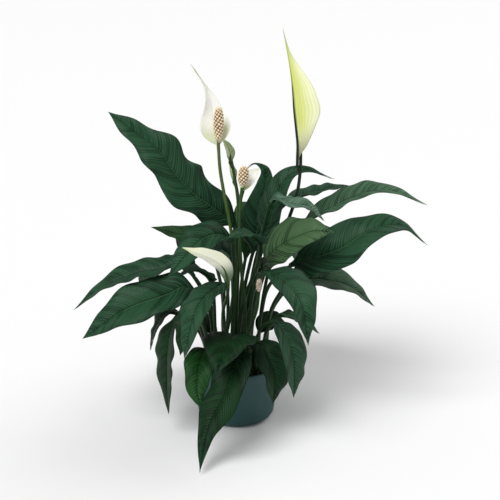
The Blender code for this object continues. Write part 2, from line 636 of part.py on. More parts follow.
def make_nursery_pot(finish):
    """Build the thin pot that stands inside the planter."""
    base, lip, low, high = nursery_sizes()
    floor = low + NURSERY_WALL
    profile = [(0.0, floor), (nursery_inside(floor), floor), (nursery_inside(high), high), (lip, high),
               (base, floor), (base - NURSERY_WALL, low), (0.0, low)]
    return turned("nursery_pot", profile, finish)


def make_soil(finish):
    """Build the soil: it fills the nursery pot, flat where the stems stand and lower at the wall."""
    low = nursery_sizes()[2] + NURSERY_WALL + FIT_GAP
    top = POT_HEIGHT - HEADSPACE
    flat = CROWN_RINGS[-1] + PETIOLE_RADIUS * 2
    profile = [(0.0, top), (flat, top), (nursery_inside(top - SOIL_FALL) - FIT_GAP, top - SOIL_FALL),
               (nursery_inside(low) - FIT_GAP, low), (0.0, low)]
    return turned("soil", profile, finish)


def main():
    """Clear the scene and build the plant in its pot."""
    for old in list(bpy.data.objects):
        bpy.data.objects.remove(old, do_unlink=True)
    group = bpy.data.collections.new("potted_peace_lily")
    bpy.context.scene.collection.children.link(group)
    finishes = make_materials()
    make_planter(finishes["teal"])
    make_nursery_pot(finishes["black"])
    make_soil(finishes["soil"])
    for leaf in LEAVES:
        make_leaf(leaf, finishes["leaf"])
    for flower in FLOWERS:
        make_flower(flower, finishes)


main()
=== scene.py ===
"""Looks of the potted peace lily, drawn around its solids.

Each piece is drawn again from the solid that it stands for.  A leaf, a spathe or a stalk is read back as the
rings of points that its solid is made of, and a fine surface is laid through them.  Metres, +Z up.
"""
import logging
import math
from dataclasses import dataclass
from enum import Enum
from typing import Any, Iterable, Sequence

import bmesh
import bpy
import numpy as np
from mathutils import Matrix, Vector, noise


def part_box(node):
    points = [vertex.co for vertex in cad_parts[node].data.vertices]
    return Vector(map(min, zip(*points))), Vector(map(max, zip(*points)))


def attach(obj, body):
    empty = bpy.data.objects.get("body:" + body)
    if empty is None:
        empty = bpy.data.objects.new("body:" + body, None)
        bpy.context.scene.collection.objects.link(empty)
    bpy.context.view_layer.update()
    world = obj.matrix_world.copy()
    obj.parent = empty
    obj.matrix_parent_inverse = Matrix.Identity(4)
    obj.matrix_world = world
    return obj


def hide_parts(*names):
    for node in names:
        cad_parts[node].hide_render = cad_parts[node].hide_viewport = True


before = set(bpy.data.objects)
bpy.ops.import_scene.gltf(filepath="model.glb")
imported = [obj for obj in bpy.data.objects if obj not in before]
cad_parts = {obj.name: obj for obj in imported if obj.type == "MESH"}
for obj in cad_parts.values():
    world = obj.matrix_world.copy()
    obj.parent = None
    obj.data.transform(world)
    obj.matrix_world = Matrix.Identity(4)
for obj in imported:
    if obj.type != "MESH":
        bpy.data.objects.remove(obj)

Array = np.ndarray
Colour = tuple[float, float, float]
BODY = "root"
SIDES = 8                    # points in each ring of a lofted solid
TOP_CREST = 0.58             # where a ring's upper side has its middle points, from midrib to edge
BLADE_RINGS = 10             # rings of a leaf's solid that belong to its blade
TINY = 1e-6
CREST = 2                    # a ring's point on the upper side's midrib
KEEL = 6                     # a ring's point under it
BEAD_COVER = 0.66            # share of a spadix that its beads cover
TIP_CROWDING = 1.15          # how much closer a blade's rows lie near its tip
VEIN_UNIT = 0.01             # way along the midrib for each unit of the Veins map
VEIN_SLANT = 0.75            # how far a vein runs towards the tip for its way out
VEIN_BEND = 0.5              # how much further it does so by the edge
RIPPLE_PACE = 0.7            # ripples of the outline for each wave of the edge
GROOVE_WIDTH = 0.055         # of the midrib's groove, as a share of the half width
UNDER_TINT: Colour = (0.045, 0.100, 0.050)   # what a leaf's green leans to on its under side

log = logging.getLogger("peace_lily")


# ---------------- shader maths
class Value:
    """A socket that takes part in Python arithmetic, each step adding its Math node."""

    def __init__(self, graph: "Graph", socket: bpy.types.NodeSocket) -> None:
        """Wrap a socket of a graph.

        Args:
            graph: the material's graph.
            socket: the output socket to read.
        """
        self.graph = graph
        self.socket = socket

    def _math(self, operation: str, *others: Any, swap: bool = False) -> "Value":
        """Add a Math node.

        Args:
            operation: the node's operation.
            others: the other operands.
            swap: whether this value comes second.

        Returns:
            The node's result.
        """
        operands = [self, *others]
        if swap:
            operands.reverse()
        node = self.graph.node("ShaderNodeMath", {"operation": operation}, dict(enumerate(operands)))
        return Value(self.graph, node.outputs[0])

    def __add__(self, other: Any) -> "Value":
        """Return the sum."""
        return self._math("ADD", other)

    def __radd__(self, other: Any) -> "Value":
        """Return the sum, this value second."""
        return self._math("ADD", other, swap=True)

    def __sub__(self, other: Any) -> "Value":
        """Return the difference."""
        return self._math("SUBTRACT", other)

    def __rsub__(self, other: Any) -> "Value":
        """Return the other value less this one."""
        return self._math("SUBTRACT", other, swap=True)

    def __mul__(self, other: Any) -> "Value":
        """Return the product."""
        return self._math("MULTIPLY", other)

    def __rmul__(self, other: Any) -> "Value":
        """Return the product, this value second."""
        return self._math("MULTIPLY", other, swap=True)

    def __abs__(self) -> "Value":
        """Return the value without its sign."""
        return self._math("ABSOLUTE")

    def wave(self) -> "Value":
        """Return a wave from 0 to 1 that repeats with each whole number."""
        return (self * math.tau)._math("SINE") * 0.5 + 0.5

    def step(self, low: float, high: float, start: float = 0.0, stop: float = 1.0) -> "Value":
        """Return a smooth step.

        Args:
            low: where the step begins.
            high: where it ends.
            start: the result up to low.
            stop: the result from high on.

        Returns:
            The stepped value.
        """
        settings = {"interpolation_type": "SMOOTHSTEP"}
        sockets = {"Value": self, "From Min": low, "From Max": high, "To Min": start, "To Max": stop}
        return Value(self.graph, self.graph.node("ShaderNodeMapRange", settings, sockets).outputs[0])


class Graph:
    """One material and its node tree."""

    def __init__(self, name: str) -> None:
        """Start an empty material.

        Args:
            name: the material's name.
        """
        self.material = bpy.data.materials.new(name)
        self.material.use_nodes = True
        self.tree = self.material.node_tree
        self.tree.nodes.clear()

    def node(self, kind: str, settings: dict[str, Any] | None = None,
             sockets: dict[str | int, Any] | None = None) -> bpy.types.Node:
        """Add a node.

        Args:
            kind: its type.
            settings: its properties, set first.
            sockets: by name or place, the value or the link of each socket.

        Returns:
            The node.
        """
        made = self.tree.nodes.new(kind)
        for key, value in (settings or {}).items():
            setattr(made, key, value)
        for key, value in (sockets or {}).items():
            target = made.inputs[key]
            source = value.socket if isinstance(value, Value) else value
            if isinstance(source, bpy.types.NodeSocket):
                self.tree.links.new(source, target)
            elif isinstance(source, tuple) and len(source) == 3 and target.type == "RGBA":
                target.default_value = (*source, 1.0)
            else:
                target.default_value = source
        return made

    def value(self, kind: str, settings: dict[str, Any] | None = None,
              sockets: dict[str | int, Any] | None = None, output: int = 0) -> Value:
        """Add a node as node() does, and return one of its outputs as a value."""
        return Value(self, self.node(kind, settings, sockets).outputs[output])

    def uv(self, name: str) -> tuple[Value, Value]:
        """Return the two coordinates of a UV map."""
        place = self.value("ShaderNodeUVMap", {"uv_map": name})
        split = self.node("ShaderNodeSeparateXYZ", None, {0: place})
        return Value(self, split.outputs[0]), Value(self, split.outputs[1])

    def place(self) -> Value:
        """Return the place in the row frame."""
        return self.value("ShaderNodeTexCoord", output=3)

    def join(self, x: Any, y: Any, z: Any = 0.0) -> Value:
        """Return the vector of three values."""
        return self.value("ShaderNodeCombineXYZ", None, {0: x, 1: y, 2: z})

    def noise(self, vector: Value, scale: float, detail: float = 2.0, roughness: float = 0.5) -> Value:
        """Return noise from 0 to 1 at a vector."""
        return self.value("ShaderNodeTexNoise", None, {"Vector": vector, "Scale": scale, "Detail": detail,
                                                       "Roughness": roughness})

    def mix(self, first: Any, second: Any, share: Any) -> Value:
        """Return a colour between two others."""
        return self.value("ShaderNodeMix", {"data_type": "RGBA"}, {0: share, 6: first, 7: second}, output=2)

    def bump(self, height: Value, strength: float, distance: float) -> Value:
        """Return the normal that a height gives."""
        return self.value("ShaderNodeBump", None, {"Height": height, "Strength": strength,
                                                   "Distance": distance})

    def close(self, sockets: dict[str, Any]) -> bpy.types.Material:
        """Finish with a Principled shader.

        Args:
            sockets: its values and links.

        Returns:
            The material.
        """
        shader = self.node("ShaderNodeBsdfPrincipled", None, sockets)
        self.node("ShaderNodeOutputMaterial", None, {"Surface": shader.outputs[0]})
        return self.material


# ---------------- finishes
@dataclass(frozen=True)
class LeafFinish:
    """How one kind of leaf is coloured."""

    name: str
    deep: Colour
    light: Colour
    rib: Colour
    # how strongly the painted sheen bands lighten the blade along its veins
    stripes: float = 0.60
    roughness: float = 0.36
    coat: float = 0.04

    def build(self) -> bpy.types.Material:
        """Make the upper side's material.

        Returns:
            A glossy green with side veins that run out to the edge, and a paler midrib.
        """
        g = Graph(f"{self.name}_upper")
        across, along = g.uv("Blade")
        vein, side = g.uv("Veins")
        off = abs(across - 0.5) * 2
        wander = g.noise(g.join(vein * 0.25, side * 0.9), 1.0)
        line = (vein * 2.1 + wander * 1.5).wave()
        fine = (vein * 6.3 + wander * 2.0).wave()
        # painted sheen: light bands along the veins stand in for the leaf's striped gloss
        sheen_band = g.noise(g.join(vein * 1.3, side * 0.35), 1.0, 3.0, 0.6).step(0.36, 0.64)
        patch = g.noise(g.place(), 9.0, 2.0)
        rib = off.step(0.010, 0.050, 1.0, 0.0)
        # painted shade: the blade darkens towards its base, where it lies in shadow
        tone = (sheen_band * self.stripes + line * (self.stripes * 0.55) + patch * 0.45
                + along.step(0.0, 0.45) * 0.30 - off.step(0.75, 1.0) * 0.10 - 0.36)
        colour = g.mix(self.deep, self.light, tone.step(0.0, 1.0))
        colour = g.mix(colour, self.rib, rib * along.step(0.2, 1.0, 0.75, 0.25))
        height = line * 0.8 + fine * 0.20 - rib * 1.2 + g.noise(g.place(), 260.0) * 0.15
        rough = self.roughness + sheen_band * 0.10 + patch * 0.06
        return g.close({"Base Color": colour, "Roughness": rough, "Coat Weight": self.coat,
                        "Coat Roughness": 0.25, "Specular IOR Level": 0.16,
                        "Normal": g.bump(height, 0.9, 0.0011)})

    def build_under(self) -> bpy.types.Material:
        """Make the under side's material: the same leaf, paler, greyer and more matt."""
        g = Graph(f"{self.name}_under")
        across, _ = g.uv("Blade")
        vein, side = g.uv("Veins")
        wander = g.noise(g.join(vein * 0.25, side * 0.9), 1.0)
        line = (vein * 2.1 + wander * 1.5).wave()
        pale = tuple(0.60 * c + 0.40 * p for c, p in zip(self.light, UNDER_TINT))
        dull = tuple(0.85 * c + 0.15 * p for c, p in zip(self.light, UNDER_TINT))
        rib = (abs(across - 0.5) * 2).step(0.02, 0.09, 1.0, 0.0)
        colour = g.mix(g.mix(dull, pale, line * 0.6 + g.noise(g.place(), 12.0) * 0.4), self.rib, rib * 0.6)
        return g.close({"Base Color": colour, "Roughness": 0.50, "Specular IOR Level": 0.25,
                        "Normal": g.bump(1 - line, 0.5, 0.0004)})


class Tone(Enum):
    """The kinds of leaf on the plant."""

    # painted shade: a dark green leaf made near-black, as it looks in the shade inside the plant
    DEEP = LeafFinish("leaf_deep", (0.0004, 0.0090, 0.0020), (0.004, 0.034, 0.008), (0.020, 0.075, 0.018))
    TEAL = LeafFinish("leaf_teal", (0.0018, 0.0190, 0.0065), (0.020, 0.076, 0.034), (0.055, 0.135, 0.060))
    GREEN = LeafFinish("leaf_green", (0.0010, 0.0190, 0.0030), (0.014, 0.072, 0.014), (0.045, 0.125, 0.030))
    FRESH = LeafFinish("leaf_fresh", (0.0120, 0.0440, 0.0190), (0.075, 0.165, 0.090), (0.130, 0.240, 0.130))
    # painted sheen: this tone takes the strongest light bands
    STRIPED = LeafFinish("leaf_striped", (0.0015, 0.0200, 0.0040), (0.060, 0.125, 0.052),
                         (0.060, 0.130, 0.045), stripes=0.85)
    GREY = LeafFinish("leaf_grey", (0.030, 0.080, 0.048), (0.120, 0.210, 0.140), (0.160, 0.260, 0.170),
                      roughness=0.42)


@dataclass(frozen=True)
class SpatheFinish:
    """How one spathe is coloured: from its base to its tip, on its inside and on its back."""

    name: str
    base: Colour
    body: Colour
    tip: Colour
    shade: Colour
    rib: Colour
    back: float = 0.15
    tip_from: float = 0.72
    folded: bool = False
    base_to: float = 0.34

    def build(self, reverse: bool = False) -> bpy.types.Material:
        """Make the material of one side.

        Args:
            reverse: whether it is the back, which keeps more of its green along the veins.

        Returns:
            A soft satin material with long veins.
        """
        g = Graph(f"{self.name}_{'back' if reverse else 'face'}")
        across, along = g.uv("Blade")
        off = abs(across - 0.5) * 2
        line = (across * 15.0 + g.noise(g.join(across * 5.0, along * 3.0), 1.0) * 0.8).wave()
        middle = off.step(0.0, 0.10, 1.0, 0.0)
        colour = g.mix(self.base, self.body, along.step(self.base_to * 0.2, self.base_to))
        colour = g.mix(colour, self.tip, along.step(self.tip_from, 0.97))
        # painted shade: one side of the spathe is darker, as if turned from the light; on a folded spathe
        # the same mix greens it towards the midrib
        shaded = off.step(0.15, 0.95, 0.9, 0.0) if self.folded else across.step(0.15, 0.95, 0.0, 0.9)
        colour = g.mix(colour, self.shade, shaded * along.step(self.base_to * 0.4, self.base_to))
        keep = self.back * (2.2 if reverse else 1.0)
        colour = g.mix(colour, self.base, line * (1 - along * 0.5) * (0.35 * keep))
        colour = g.mix(colour, self.rib, middle * along.step(0.35, 0.95, 1.0, 0.4) * min(1.0, 1.6 * keep))
        height = line * 0.6 - middle * (0.8 if not reverse else -1.2) + g.noise(g.place(), 320.0) * 0.3
        return g.close({"Base Color": colour, "Roughness": 0.46, "Subsurface Weight": 0.25,
                        "Subsurface Radius": (0.004, 0.004, 0.002), "Subsurface Scale": 0.6,
                        "Normal": g.bump(height, 0.4, 0.0004)})


@dataclass(frozen=True)
class PlainFinish:
    """A finish of two near colours that a fine noise mixes."""

    name: str
    first: Colour
    second: Colour
    roughness: float
    scale: float
    grain: float

    def build(self) -> bpy.types.Material:
        """Make the material."""
        g = Graph(self.name)
        mottle = g.noise(g.place(), self.scale, 3.0)
        height = g.noise(g.place(), self.scale * 14, 2.0)
        return g.close({"Base Color": g.mix(self.first, self.second, mottle.step(0.3, 0.7)),
                        "Roughness": self.roughness + mottle * 0.08,
                        "Normal": g.bump(height, self.grain, 0.0004)})


@dataclass(frozen=True)
class StalkFinish:
    """A stalk or a petiole: one colour low down and another near its top."""

    name: str
    low: Colour
    high: Colour
    turn_from: float
    turn_to: float

    def build(self) -> bpy.types.Material:
        """Make the material, satin with fine streaks along the stem."""
        g = Graph(self.name)
        split = g.node("ShaderNodeSeparateXYZ", None, {0: g.place()})
        x, y, z = (Value(g, split.outputs[k]) for k in range(3))
        streak = g.noise(g.join(x * 900.0, y * 900.0, z * 14.0), 1.0)
        colour = g.mix(self.low, self.high, z.step(self.turn_from, self.turn_to))
        colour = g.mix(colour, tuple(c * 0.55 for c in self.low), streak.step(0.45, 0.75) * 0.5)
        return g.close({"Base Color": colour, "Roughness": 0.40, "Specular IOR Level": 0.18,
                        "Normal": g.bump(streak, 0.25, 0.0003)})


class Plain(Enum):
    """The finishes that aren't leaves or spathes."""

    PLANTER = PlainFinish("planter_teal", (0.006, 0.050, 0.052), (0.010, 0.064, 0.064), 0.52, 26.0, 0.30)
    NURSERY = PlainFinish("nursery_black", (0.004, 0.004, 0.006), (0.010, 0.009, 0.012), 0.45, 40.0, 0.25)
    SOIL = PlainFinish("potting_soil", (0.010, 0.006, 0.004), (0.045, 0.026, 0.014), 0.92, 160.0, 0.9)
    CRUMB = PlainFinish("soil_crumbs", (0.020, 0.012, 0.007), (0.085, 0.052, 0.030), 0.90, 220.0, 0.7)
    SPADIX = PlainFinish("spadix_cream", (0.700, 0.560, 0.360), (0.880, 0.780, 0.580), 0.55, 240.0, 0.3)
    # painted shade: the core's dark brown shows between the beads as the shade in the gaps
    SPADIX_CORE = PlainFinish("spadix_core", (0.160, 0.080, 0.030), (0.270, 0.150, 0.060), 0.75, 200.0, 0.3)
    FADED = PlainFinish("spadix_faded", (0.300, 0.220, 0.150), (0.600, 0.540, 0.440), 0.70, 260.0, 0.4)
    # painted shade: petioles, and stalks low down, are near-black green for the shade in the crowded crown
    PETIOLE = StalkFinish("petiole", (0.014, 0.044, 0.007), (0.008, 0.036, 0.010), 0.09, 0.20)
    STALK = StalkFinish("stalk", (0.014, 0.050, 0.009), (0.036, 0.085, 0.020), 0.18, 0.38)
    STALK_OLIVE = StalkFinish("stalk_olive", (0.040, 0.105, 0.014), (0.085, 0.110, 0.036), 0.26, 0.40)
    # painted shade: near-black from about 0.32 m up, where its rib runs up the lime spathe's back along the
    # fold
    STALK_DARK = StalkFinish("stalk_dark", (0.012, 0.036, 0.008), (0.006, 0.018, 0.007), 0.18, 0.32)


class Paints:
    """Makes each material once and hands it out again."""

    def __init__(self) -> None:
        """Start with no material."""
        self._made: dict[str, bpy.types.Material] = {}

    def get(self, finish: Any, reverse: bool = False) -> bpy.types.Material:
        """Return a finish's material.

        Args:
            finish: a finish, or an Enum member that holds one.
            reverse: whether the back of a leaf or a spathe is meant.

        Returns:
            The material.
        """
        plan = finish.value if isinstance(finish, Enum) else finish
        key = plan.name + ("_back" if reverse else "")
        if key not in self._made:
            if isinstance(plan, LeafFinish):
                self._made[key] = plan.build_under() if reverse else plan.build()
            elif isinstance(plan, SpatheFinish):
                self._made[key] = plan.build(reverse)
            else:
                self._made[key] = plan.build()
        return self._made[key]


class Maker:
    """What the makers of the sub-assemblies share."""

    def __init__(self, paints: Paints) -> None:
        """Keep the materials at hand.

        Args:
            paints: the materials.
        """
        self.paints = paints


# ---------------- reading the solids back
class Rings:
    """The rings of points that a lofted or bevelled solid is made of."""

    def __init__(self, node: str) -> None:
        """Read a node's merged mesh.

        Args:
            node: the name of the solid.
        """
        self.node = node
        mesh = bmesh.new()
        mesh.from_mesh(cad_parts[node].data)
        bmesh.ops.remove_doubles(mesh, verts=mesh.verts, dist=TINY)
        mesh.verts.index_update()
        mesh.verts.ensure_lookup_table()
        self.points = np.array([v.co[:] for v in mesh.verts])
        self.near = [{e.other_vert(v).index for e in v.link_edges} for v in mesh.verts]
        mesh.free()

    def _layers(self, start: Iterable[int]) -> list[list[int]]:
        """Return the vertices by their number of edges from the first ones."""
        layers = [sorted(start)]
        seen = set(layers[0])
        while True:
            beyond = sorted({n for v in layers[-1] for n in self.near[v]} - seen)
            if not beyond:
                return layers
            layers.append(beyond)
            seen.update(beyond)

    def loft(self) -> tuple[Array, Array]:
        """Return the rings from foot to tip, each from the left edge over the top, and the tip.

        Returns:
            An array (ring, point, axis), and the tip's place.

        Raises:
            ValueError: if the solid isn't a loft of rings of eight.
        """
        for pole, near in enumerate(self.near):
            if len(near) != SIDES:
                continue
            layers = self._layers([pole])[1:]
            if all(len(layer) == SIDES for layer in layers):
                break
        else:
            raise ValueError(f"{self.node} has no tip that rings of {SIDES} lead to")
        layers.reverse()
        widest = max(range(1, len(layers) - 1), key=lambda k: self._width(layers[k]))
        named = {widest: self._name_ring(layers, widest)}
        for k in range(widest - 1, -1, -1):
            named[k] = self._follow(named[k + 1], layers[k])
        for k in range(widest + 1, len(layers)):
            named[k] = self._follow(named[k - 1], layers[k])
        order = [named[k] for k in range(len(layers))]
        return self.points[np.array(order)], self.points[pole]

    def stem(self, foot_radius: float, foot_height: float) -> tuple[Array, Array]:
        """Return the middle and the radius of each ring of a bevelled stem, from its foot.

        Args:
            foot_radius: how far from the axis a foot can be.
            foot_height: a height that only the foot lies under.

        Returns:
            The middles (ring, axis) and the radii.
        """
        low = (self.points[:, 2] < foot_height) & (np.hypot(*self.points[:, :2].T) < foot_radius)
        layers = self._layers(np.flatnonzero(low).tolist())
        middles = np.array([self.points[layer].mean(axis=0) for layer in layers])
        radii = np.array([np.linalg.norm(self.points[layer] - middle, axis=1).mean()
                          for layer, middle in zip(layers, middles)])
        return middles, radii

    def _width(self, layer: Sequence[int]) -> float:
        """Return the greatest distance between two vertices of a layer."""
        spots = self.points[list(layer)]
        return float(np.linalg.norm(spots[:, None] - spots[None], axis=2).max())

    def _name_ring(self, layers: list[list[int]], k: int) -> list[int]:
        """Return a ring's vertices in order, from its left edge over its upper side."""
        members = set(layers[k])
        ring = [layers[k][0]]
        while len(ring) < SIDES:
            ring.append(min(n for n in self.near[ring[-1]] & members if n not in ring))
        spots = self.points[ring]
        area = np.cross(spots, np.roll(spots, -1, axis=0)).sum(axis=0)
        ahead = self.points[layers[k + 1]].mean(axis=0) - self.points[layers[k - 1]].mean(axis=0)
        if area @ ahead < 0:
            ring.reverse()
            spots = self.points[ring]
        spans = np.linalg.norm(spots[:, None] - spots[None], axis=2)
        edges = np.unravel_index(spans.argmax(), spans.shape)
        start = next(i for i in edges
                     if spans[i, (i + 1) % SIDES] < spans[i, (i - 1) % SIDES])
        return ring[start:] + ring[:start]

    def _follow(self, known: list[int], layer: list[int]) -> list[int]:
        """Return the next ring in the order of a known one, along the solid's own edges.

        Args:
            known: the ring beside it, in order.
            layer: the next ring's vertices.

        Returns:
            The layer's vertices in the same order.
        """
        members = set(layer)
        whole = [chain for v in sorted(self.near[known[0]] & members)
                 for chain in self._chains([v], known, members)]
        return min(whole, key=lambda chain: float(np.linalg.norm(
            self.points[chain] - self.points[known], axis=1).sum()))

    def _chains(self, chain: list[int], known: list[int], members: set[int]) -> list[list[int]]:
        """Return each closed ring that carries on from a chain, every vertex beside its known one."""
        if len(chain) == SIDES:
            return [chain] if chain[0] in self.near[chain[-1]] else []
        beside = (self.near[known[len(chain)]] & members & self.near[chain[-1]]) - set(chain)
        return [done for v in sorted(beside) for done in self._chains([*chain, v], known, members)]


def spline(knots: Array, values: Array, at: Array) -> Array:
    """Read a smooth curve through values at knots.

    Args:
        knots: rising places of the values.
        values: an array whose first axis goes with the knots.
        at: where to read.

    Returns:
        The values there.
    """
    slopes = np.gradient(values, knots, axis=0)
    i = np.clip(np.searchsorted(knots, at, side="right") - 1, 0, len(knots) - 2)
    span = knots[i + 1] - knots[i]
    shape = (len(at),) + (1,) * (values.ndim - 1)
    t, span = ((at - knots[i]) / span).reshape(shape), span.reshape(shape)
    return ((2 * t ** 3 - 3 * t ** 2 + 1) * values[i] + (t ** 3 - 2 * t ** 2 + t) * span * slopes[i]
            + (3 * t ** 2 - 2 * t ** 3) * values[i + 1] + (t ** 3 - t ** 2) * span * slopes[i + 1])


def lengths(points: Array) -> Array:
    """Return the distance of each point from the first, along the line."""
    return np.concatenate([[0.0], np.cumsum(np.linalg.norm(np.diff(points, axis=0), axis=1))])


def unit(vectors: Array) -> Array:
    """Return vectors of length one."""
    return vectors / np.maximum(np.linalg.norm(vectors, axis=-1, keepdims=True), 1e-12)


# ---------------- making meshes
def adopt(made: bpy.types.Object, name: str, materials: Sequence[bpy.types.Material]) -> bpy.types.Object:
    """Name an object, smooth it and give it its materials."""
    made.name = name
    made.data.name = name
    made.data.materials.clear()
    for material in materials:
        made.data.materials.append(material)
    made.data.shade_smooth()
    return made


def activate(made: bpy.types.Object) -> None:
    """Select one object alone and make it the active one."""
    bpy.ops.object.select_all(action="DESELECT")
    made.select_set(True)
    bpy.context.view_layer.objects.active = made


def settle(made: bpy.types.Object) -> bpy.types.Object:
    """Turn an object and its modifiers into a plain mesh."""
    activate(made)
    bpy.ops.object.convert(target="MESH")
    return bpy.context.view_layer.objects.active


def unite(main: bpy.types.Object, others: Sequence[bpy.types.Object]) -> bpy.types.Object:
    """Join objects into the first one."""
    activate(main)
    for other in others:
        other.select_set(True)
    bpy.ops.object.join()
    return main


def stand_for(made: bpy.types.Object, node: str) -> bpy.types.Object:
    """Let an object stand for its solid: name it after the solid, hide the solid and fix the object to the
    body.
    """
    made.name = node + "_look"
    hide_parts(node)
    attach(made, BODY)
    return made


def ball(subdivisions: int) -> tuple[Array, Array]:
    """Return the points and the faces of a faceted ball of radius 1."""
    bpy.ops.mesh.primitive_ico_sphere_add(subdivisions=subdivisions, radius=1.0)
    pattern = bpy.context.active_object
    points = np.array([v.co[:] for v in pattern.data.vertices])
    faces = np.array([p.vertices[:] for p in pattern.data.polygons])
    bpy.data.objects.remove(pattern, do_unlink=True)
    return points, faces


def strewn(name: str, copies: list[Array], faces: Array, material: bpy.types.Material) -> bpy.types.Object:
    """Make one object of many copies of a shape.

    Args:
        name: the object's name.
        copies: the points of each copy.
        faces: the faces of the shape.
        material: its material.

    Returns:
        The object.
    """
    every = np.concatenate([faces + k * len(points) for k, points in enumerate(copies)])
    mesh = bpy.data.meshes.new(name)
    mesh.from_pydata(np.concatenate(copies).tolist(), [], every.tolist())
    made = bpy.data.objects.new(name, mesh)
    bpy.context.collection.objects.link(made)
    return adopt(made, name, [material])


def tube(points: Array, radii: Array, material: bpy.types.Material) -> bpy.types.Object:
    """Make a round closed tube.

    Args:
        points: its middle line.
        radii: its radius at each point.
        material: its material.

    Returns:
        The mesh object.
    """
    curve = bpy.data.curves.new("tube", "CURVE")
    curve.dimensions = "3D"
    curve.bevel_depth = 1.0
    curve.bevel_resolution = 4
    curve.use_fill_caps = True
    line = curve.splines.new("POLY")
    line.points.add(len(points) - 1)
    for spot, point, radius in zip(line.points, points, radii):
        spot.co = (*point, 1.0)
        spot.radius = radius
    made = bpy.data.objects.new("tube", curve)
    bpy.context.collection.objects.link(made)
    made = adopt(settle(made), "tube", [material])
    while made.data.uv_layers:
        made.data.uv_layers.remove(made.data.uv_layers[0])
    return made


def laid_grid(places: Array, maps: dict[str, Array], up: Array) -> bpy.types.Object:
    """Lay a grid primitive through places.

    Args:
        places: an array (row, column, axis).
        maps: for each UV map, an array (row, column, 2).
        up: a direction on the side that is the face.

    Returns:
        The object, one face thick, its rows merged where they meet in a point.
    """
    rows, columns = places.shape[:2]
    bpy.ops.mesh.primitive_grid_add(x_subdivisions=columns - 1, y_subdivisions=rows - 1, calc_uvs=False)
    made = bpy.context.active_object
    mesh = made.data
    flat = np.empty(len(mesh.vertices) * 3)
    mesh.vertices.foreach_get("co", flat)
    flat = np.round(flat.reshape(-1, 3), 5)
    order = np.lexsort((flat[:, 0], flat[:, 1]))
    spots = np.empty_like(flat)
    spots[order] = places.reshape(-1, 3)
    mesh.vertices.foreach_set("co", spots.ravel())
    corners = np.empty(len(mesh.loops), dtype=int)
    mesh.loops.foreach_get("vertex_index", corners)
    for name, values in maps.items():
        layer = mesh.uv_layers.new(name=name)
        coords = np.empty((len(flat), 2))
        coords[order] = values.reshape(-1, 2)
        layer.data.foreach_set("uv", coords[corners].ravel())
    mesh.update()
    middle = mesh.polygons[len(mesh.polygons) // 2]
    work = bmesh.new()
    work.from_mesh(mesh)
    if np.array(middle.normal) @ up < 0:
        bmesh.ops.reverse_faces(work, faces=work.faces)
    bmesh.ops.remove_doubles(work, verts=work.verts, dist=TINY)
    work.to_mesh(mesh)
    work.free()
    return made


def thicken(made: bpy.types.Object, thickness: float) -> bpy.types.Object:
    """Give a sheet its thickness, away from its face, and its second material on the back."""
    solid = made.modifiers.new("Solid", "SOLIDIFY")
    solid.thickness = thickness
    solid.offset = -1.0
    solid.material_offset = 1
    return settle(made)


